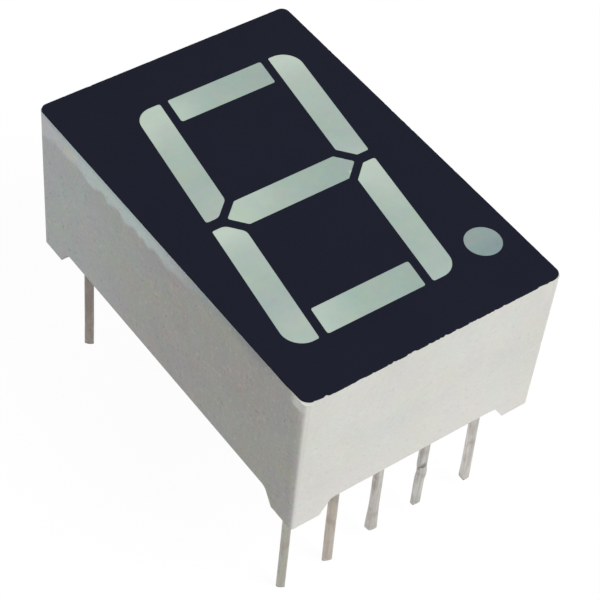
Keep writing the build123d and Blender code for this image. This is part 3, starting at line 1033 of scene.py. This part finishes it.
pin_group = make_pin_group()
for name in PIN_NAMES:
    low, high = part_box(name)
    middle = (low + high) / 2
    shape = {**PLAIN_PIN, **PIN_SHAPES.get(name, {})}
    shape.update({label: shape[label] * MM for label in PIN_LENGTHS})
    tip_level = low.z - shape.pop("Drop")
    wire = shaped_piece(f"{name}_wire", pin_group, {
        "Tip": (middle.x, middle.y, tip_level),
        "Head": (middle.x, middle.y, high.z),
        "Radius": (high.y - low.y) / 2,
        "Flare Length": PIN_FLARE_LENGTH * MM,
        "Clip Length": PIN_CLIP_LENGTH * MM,
        "Clip Thickness": PIN_CLIP_THICKNESS_SHARE,
        "Clip Edge": CLIP_EDGE,
        "Clip Depth": CLIP_DEPTH,
        "Sway": PIN_SWAY * MM,
        "Sway Size": PIN_SWAY_SIZE * MM,
        "Held Above": POTTING_LOW.z,
        "Bend Depth": PIN_BEND_DEPTH * MM,
        "Kink Level": PIN_KINK_LEVEL * MM,
        "Kink Reach": PIN_KINK_REACH * MM,
        "Rings": PIN_RINGS,
        "Sides": PIN_SIDES,
        "Material": FINISHES["tinned_wire"],
        **shape,
    })
    add_piece(wire, "tinned_wire", name)

first_low, first_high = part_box("pin_1")
last_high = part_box("pin_6")[1]
fill = shaped_piece("potting_fill", make_potting_group(), {
    "Width": POTTING_HIGH.x - POTTING_LOW.x,
    "Length": POTTING_HIGH.y - POTTING_LOW.y,
    "Back": POTTING_LOW.z,
    "Front": POTTING_HIGH.z,
    "Corner": POTTING_CORNER * MM,
    "Cell": POTTING_CELL * MM,
    "Sag": POTTING_SAG * MM,
    "Wave": POTTING_WAVE * MM,
    "Wave Size": POTTING_WAVE_SIZE * MM,
    "Wall Climb": POTTING_WALL_CLIMB * MM,
    "Wall Reach": POTTING_WALL_REACH * MM,
    "Pin Climb": POTTING_PIN_CLIMB * MM,
    "Pin Reach": POTTING_PIN_REACH * MM,
    "Row Length": last_high.x - first_high.x,
    "Row Spacing": last_high.y - first_high.y,
    "Pin Radius": (first_high.y - first_low.y) / 2,
    "Merge Distance": MERGE_DISTANCE * MM,
    "Pins": PINS_IN_ROW,
    "Rows": PIN_ROWS,
    "Material": FINISHES["potting"],
})
add_piece(fill, "potting", "potting_resin")


# The black coat, with the small round corners of its openings and a worn front edge

def front_loops(name):
    """The outlines around a node's front, each a list of places in order."""
    source = frame["nodes"][name]
    work = bmesh.new()
    work.from_mesh(source.data)
    work.transform(source.matrix_world)
    bmesh.ops.remove_doubles(work, verts=work.verts, dist=MERGE_DISTANCE * MM)
    front = max(vertex.co.z for vertex in work.verts) - MERGE_DISTANCE * MM
    flat = {face for face in work.faces if all(vertex.co.z > front for vertex in face.verts)}
    neighbours = {}
    for edge in work.edges:
        if len(flat.intersection(edge.link_faces)) == 1:
            first, second = edge.verts
            neighbours.setdefault(first, []).append(second)
            neighbours.setdefault(second, []).append(first)
    loops = []
    while neighbours:
        start = vertex = next(iter(neighbours))
        loop = []
        while vertex in neighbours:
            loop.append(vertex.co.xy.copy())
            following = neighbours.pop(vertex)
            vertex = next((other for other in following if other in neighbours), start)
        loops.append(loop)
    work.free()
    return loops


def rounded(loop, corner, mitre_corner):
    """The outline with its sharp corners rounded off, the blunter ones by a radius of their own."""
    result = []
    for before, place, after in zip(loop[-1:] + loop[:-1], loop, loop[1:] + loop[:1]):
        arrive = place - before
        leave = after - place
        turn = abs(arrive.angle_signed(leave))
        if degrees(turn) < SHARP_TURN_DEGREES:
            result.append(place)
            continue
        radius = corner if degrees(turn) > SQUARE_TURN_DEGREES else mitre_corner
        room = COAT_CORNER_EDGE_SHARE * min(arrive.length, leave.length)
        cut = min(radius * tan(turn / 2), room)
        start = place - arrive.normalized() * cut
        end = place + leave.normalized() * cut
        for step in range(COAT_CORNER_STEPS + 1):
            share = step / COAT_CORNER_STEPS
            result.append(start.lerp(place, share).lerp(place.lerp(end, share), share))
    return result


def worn(loop):
    """The outer outline, set back unevenly in short steps, most at the front left corner."""
    middle = (FACE_LOW + FACE_HIGH).xy / 2
    reach = COAT_CORNER_WEAR_REACH * MM
    front = FACE_LOW.y + COAT_EDGE_STEP * MM
    result = []
    for place, after in zip(loop, loop[1:] + loop[:1]):
        steps = max(1, round((after - place).length / (COAT_EDGE_STEP * MM)))
        for step in range(steps):
            spot = place.lerp(after, step / steps)
            wear = (COAT_FRONT_WEAR if spot.y < front else COAT_SIDE_WEAR) * MM
            spot_mm = Vector((*spot, 0.0)) * TO_MM
            uneven = noise.noise(spot_mm / COAT_WEAR_SIZE) + noise.noise(spot_mm / COAT_CHIP_SIZE)
            near_corner = max(0.0, 1.0 - (spot - FACE_LOW.xy).length / reach)
            set_back = wear * max(0.0, uneven) + COAT_CORNER_WEAR * MM * near_corner
            result.append(spot + (middle - spot).normalized() * set_back)
    return result


def extent(loop):
    return max(place.x for place in loop) - min(place.x for place in loop)


def make_coat():
    loops = sorted(front_loops("black_face"), key=extent)
    outlines = [worn(loops.pop())]
    for loop in loops:
        on_left_stroke = max(place.x for place in loop) < 0
        mitre_corner = COAT_MITRE_CORNER if on_left_stroke else COAT_CORNER
        outlines.append(rounded(loop, COAT_CORNER * MM, mitre_corner * MM))
    work = bmesh.new()
    for outline in outlines:
        corners = [work.verts.new((*place, FACE_LOW.z)) for place in outline]
        for first, second in zip(corners, corners[1:] + corners[:1]):
            work.edges.new((first, second))
    bmesh.ops.triangle_fill(
        work, edges=work.edges[:], use_beauty=True, use_dissolve=False, normal=(0, 0, 1)
    )
    grown = bmesh.ops.extrude_face_region(work, geom=work.faces[:], use_keep_orig=True)["geom"]
    thickness = FACE_HIGH.z - FACE_LOW.z + COAT_RISE * MM
    raised = [item for item in grown if isinstance(item, bmesh.types.BMVert)]
    bmesh.ops.translate(work, verts=raised, vec=(0.0, 0.0, thickness))
    bmesh.ops.recalc_face_normals(work, faces=work.faces[:])
    mesh = bpy.data.meshes.new("coat_layer")
    work.to_mesh(mesh)
    work.free()
    mesh.materials.append(FINISHES["black_coat"])
    coat = bpy.data.objects.new("coat_layer", mesh)
    bpy.context.scene.collection.objects.link(coat)
    return coat


add_piece(make_coat(), "black_coat", "black_face")


# Floor, light and camera

def seen_directly(tree):
    """1 for rays that show the background, straight or by a mirror or glass, and 0 for light."""
    path = tree.node("ShaderNodeLightPath").outputs
    shown = tree.math("MAXIMUM", path["Is Camera Ray"], path["Is Glossy Ray"])
    return tree.math("MAXIMUM", shown, path["Is Transmission Ray"])


def shown_or_lighting(tree, shown, lighting):
    """One shader for rays that show the background, and another for light."""
    inputs = {0: seen_directly(tree), 1: lighting.outputs[0], 2: shown.outputs[0]}
    return tree.node("ShaderNodeMixShader", inputs).outputs[0]


def make_floor():
    half = FLOOR_SIZE * MM / 2
    mesh = bpy.data.meshes.new("floor")
    corners = [(-half, -half), (half, -half), (half, half), (-half, half)]
    mesh.from_pydata([(x, y, LONG_TIP_LEVEL) for x, y in corners], [], [(0, 1, 2, 3)])
    floor = bpy.data.objects.new("floor", mesh)
    bpy.context.scene.collection.objects.link(floor)
    material = bpy.data.materials.new("pale_floor")
    material.use_nodes = True
    tree = Tree(material.node_tree)
    tree.tree.nodes.clear()
    pale = tree.node("ShaderNodeBsdfDiffuse", {"Color": FLOOR_TONE})
    shade = tree.node("ShaderNodeBsdfDiffuse", {"Color": FLOOR_SHADE_TONE})
    glow = tree.node("ShaderNodeEmission", {"Color": WHITE, "Strength": FLOOR_GLOW})
    white = tree.node("ShaderNodeAddShader", {0: shade.outputs[0], 1: glow.outputs[0]})
    surface = shown_or_lighting(tree, white, pale)
    tree.node("ShaderNodeOutputMaterial", {"Surface": surface})
    mesh.materials.append(material)


def make_world():
    world = bpy.data.worlds.new("studio")
    world.use_nodes = True
    tree = Tree(world.node_tree)
    tree.tree.nodes.clear()
    soft = tree.node("ShaderNodeBackground", {"Color": WHITE, "Strength": AMBIENT_STRENGTH})
    white = tree.node("ShaderNodeBackground", {"Color": WHITE, "Strength": 1.0})
    surface = shown_or_lighting(tree, white, soft)
    tree.node("ShaderNodeOutputWorld", {"Surface": surface})
    bpy.context.scene.world = world


def add_aimed(name, data, place, aim):
    """An object that looks from a place at another, both in millimetres."""
    aimed = bpy.data.objects.new(name, data)
    aimed.location = place * MM
    aimed.rotation_mode = "QUATERNION"
    aimed.rotation_quaternion = (aim - place).to_track_quat("-Z", "Y")
    bpy.context.scene.collection.objects.link(aimed)
    return aimed


def add_key_light():
    lamp = bpy.data.lights.new("key", "AREA")
    lamp.size = KEY_SIZE * MM
    lamp.energy = KEY_WATTS
    add_aimed("key", lamp, KEY_PLACE, KEY_AIM)


def add_camera():
    lens = bpy.data.cameras.new("camera")
    lens.lens = CAMERA_LENS
    lens.sensor_width = CAMERA_SENSOR
    lens.clip_start = CAMERA_NEAR * MM
    lens.clip_end = CAMERA_FAR * MM
    camera = add_aimed("camera", lens, CAMERA_PLACE, CAMERA_AIM)
    roll = Quaternion((0.0, 0.0, 1.0), radians(CAMERA_ROLL_DEGREES))
    camera.rotation_quaternion = camera.rotation_quaternion @ roll
    bpy.context.scene.camera = camera


make_floor()
make_world()
add_key_light()
add_camera()
bpy.context.scene.view_settings.view_transform = "Standard"
